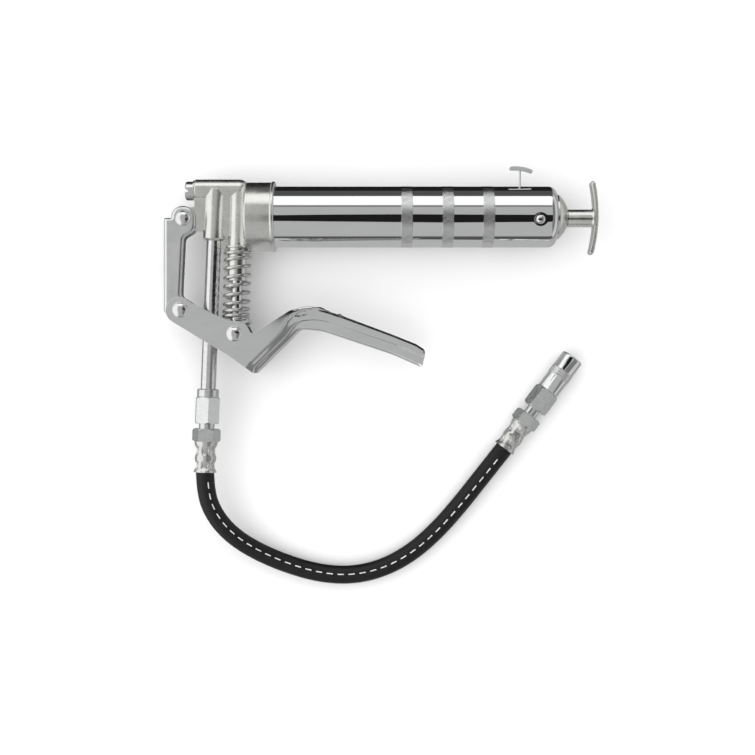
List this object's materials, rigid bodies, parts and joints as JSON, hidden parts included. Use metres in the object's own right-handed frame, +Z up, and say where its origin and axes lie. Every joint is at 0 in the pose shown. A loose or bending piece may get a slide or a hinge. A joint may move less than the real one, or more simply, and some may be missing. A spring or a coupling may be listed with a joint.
{
  "type": "grease gun",
  "caption": "Mini pistol-grip grease gun with a chromed barrel, sprung lever pump, extension pipe, short rubber hose and hydraulic coupler, lying on its side.",
  "frame": {"origin": "on the floor under the middle of the object without its hose and coupler", "axes": "+X along the barrel towards the T-handle, +Y from the lever towards the catch pin, +Z up from the floor; the gun lies on its side"},
  "size_m": [0.2841, 0.2762, 0.046],
  "materials": {
    "zinc_casting": "satin die-cast zinc",
    "chrome_steel": "mirror chrome",
    "plated_steel": "satin nickel plate",
    "bright_steel": "bright plate",
    "spring_steel": "bright wire",
    "zinc_plate": "bright zinc plate",
    "crimp_zinc": "zinc plate, crimped",
    "hose_rubber": "semi-gloss black rubber",
    "seal_rubber": "black rubber",
    "bronze": "sintered bronze"
  },
  "bodies": {
    "head": {"head_casting": "zinc_casting", "check_valve_plug": "bright_steel", "plug_washer": "zinc_plate", "check_valve_ball": "bright_steel", "check_valve_spring": "spring_steel", "pump_seal": "seal_rubber", "barrel_tube": "chrome_steel", "barrel_gasket": "seal_rubber", "rear_guide_plug": "zinc_casting", "rear_plug_rivets": "bright_steel", "rod_bush": "bronze", "extension_pipe": "bright_steel", "hex_adapter": "zinc_plate", "inlet_hose_fitting": "zinc_plate", "inlet_ferrule": "crimp_zinc", "hose": "hose_rubber", "outlet_ferrule": "crimp_zinc", "outlet_hose_fitting": "zinc_plate", "coupler_body": "zinc_plate", "coupler_jaws": "zinc_plate", "coupler_seal": "seal_rubber", "coupler_check_ball": "bright_steel", "coupler_spring": "spring_steel", "follower_spring": "spring_steel", "return_spring": "spring_steel"},
    "link": {"link": "plated_steel", "link_rivet": "bright_steel"},
    "lever": {"lever": "chrome_steel", "lever_rivet": "bright_steel", "plunger_rivet": "bright_steel", "plunger_spacers": "plated_steel"},
    "plunger": {"plunger": "bright_steel", "spring_cup": "plated_steel"},
    "follower": {"follower_rod": "bright_steel", "follower_seal": "seal_rubber", "follower_plates": "plated_steel", "follower_nuts": "bright_steel", "t_handle": "zinc_casting"},
    "catch": {"catch_pin": "bright_steel", "catch_pin_handle": "plated_steel"},
    "sleeve": {"coupler_sleeve": "chrome_steel"}
  },
  "joints": [
    {"name": "link_swing", "type": "hinge", "parent": "head", "child": "link", "pos_m": [-0.12922, 0.06575, 0.023], "axis": [0, 0, 1], "range_deg": [-2.81, 0]},
    {"name": "lever_pivot", "type": "hinge", "parent": "link", "child": "lever", "pos_m": [-0.13072, 0.00605, 0.023], "axis": [0, 0, 1], "range_deg": [0, 24.8], "stiffness_Nm_per_rad": 3.8, "springref_deg": -17.19},
    {"name": "plunger_stroke", "type": "slide", "parent": "head", "child": "plunger", "axis": [0.0262, 0.9997, 0], "range_m": [0, 0.01443], "deforming": ["return_spring"]},
    {"name": "rod_pull", "type": "slide", "parent": "head", "child": "follower", "axis": [1, 0, 0], "range_m": [0, 0.172], "stiffness_N_per_m": 60, "springref_m": -0.12, "deforming": ["follower_spring"]},
    {"name": "catch_press", "type": "slide", "parent": "head", "child": "catch", "axis": [0, -1, 0], "range_m": [0, 0.004]},
    {"name": "sleeve_turn", "type": "hinge", "parent": "head", "child": "sleeve", "pos_m": [0.11076, -0.04685, 0.009], "axis": [0.6032, 0.7976, 0], "range_deg": [0, 180]}
  ],
  "couplings": [
    {"joint": "link_swing", "follows": "lever_pivot", "ratio": -0.11284},
    {"joint": "plunger_stroke", "follows": "lever_pivot", "m_per_rad": 0.033322}
  ]
}
